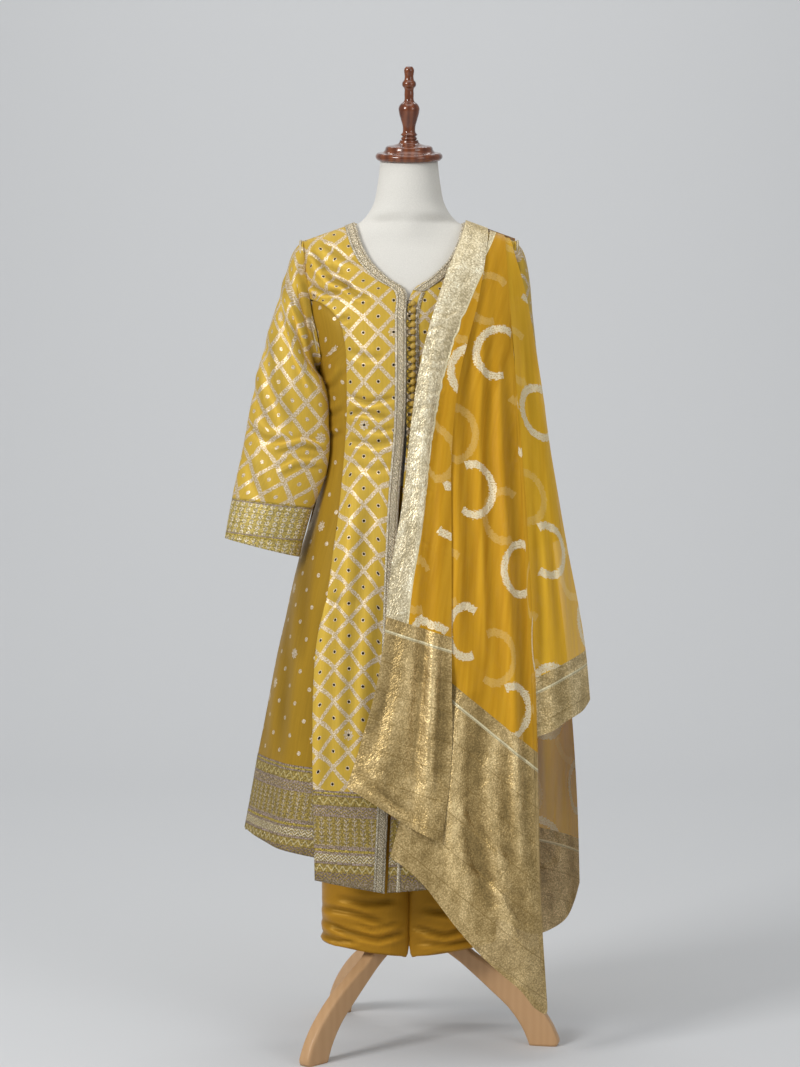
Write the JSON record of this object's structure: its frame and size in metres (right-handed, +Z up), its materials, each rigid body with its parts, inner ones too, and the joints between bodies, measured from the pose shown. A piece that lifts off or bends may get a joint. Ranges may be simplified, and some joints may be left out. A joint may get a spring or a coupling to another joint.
{
  "type": "salwar kameez suit on dress form",
  "caption": "Front-opening flared kameez with straight salwar and a dupatta over one shoulder, worn on a limbless dress form on a wooden tripod stand",
  "frame": {"origin": "on the floor under the middle of the whole outline", "axes": "+Z up, the front faces -Y, +X is the wearer's left"},
  "size_m": [0.6055, 0.4251, 1.621],
  "materials": {
    "silk_brocade": "lustrous silk brocade woven with pale metallic yarn",
    "plain_silk": "soft sheen silk",
    "zari_trim": "antique gold embroidered border and braid",
    "covered_buttons": "silk covered ball buttons",
    "salwar_satin": "mustard satin",
    "dupatta_organza": "sheer amber organza with gold tissue ends",
    "form_jersey": "matt ivory jersey",
    "red_brown_wood": "glossy lacquer",
    "beech_wood": "satin varnish"
  },
  "bodies": {
    "root": {"button_01": "covered_buttons", "button_02": "covered_buttons", "button_03": "covered_buttons", "button_04": "covered_buttons", "button_05": "covered_buttons", "button_06": "covered_buttons", "button_07": "covered_buttons", "button_08": "covered_buttons", "button_09": "covered_buttons", "button_10": "covered_buttons", "button_11": "covered_buttons", "button_12": "covered_buttons", "button_13": "covered_buttons", "button_14": "covered_buttons", "button_15": "covered_buttons", "button_16": "covered_buttons", "button_17": "covered_buttons", "button_18": "covered_buttons", "button_19": "covered_buttons", "button_20": "covered_buttons", "button_21": "covered_buttons", "cuff_left": "zari_trim", "cuff_right": "zari_trim", "dupatta_back_fall": "dupatta_organza", "dupatta_front_fall": "dupatta_organza", "dupatta_middle_fall": "dupatta_organza", "dupatta_side_fall": "dupatta_organza", "finial": "red_brown_wood", "form_torso": "form_jersey", "front_braid_right": "zari_trim", "hem_border_back": "zari_trim", "hem_border_front_left": "zari_trim", "hem_border_front_right": "zari_trim", "hem_border_side_left": "zari_trim", "hem_border_side_right": "zari_trim", "kameez_back": "silk_brocade", "kameez_front_left": "silk_brocade", "kameez_front_right": "silk_brocade", "kameez_side_left": "plain_silk", "kameez_side_right": "plain_silk", "neck_braid_left": "zari_trim", "neck_cap": "red_brown_wood", "placket_lace_left": "zari_trim", "salwar_belt": "salwar_satin", "salwar_leg_left": "salwar_satin", "salwar_leg_right": "salwar_satin", "sleeve_left": "silk_brocade", "sleeve_right": "silk_brocade", "stand_hub": "beech_wood", "stand_leg_back": "beech_wood", "stand_leg_front": "beech_wood", "stand_leg_left": "beech_wood", "stand_post": "beech_wood"}
  },
  "joints": []
}
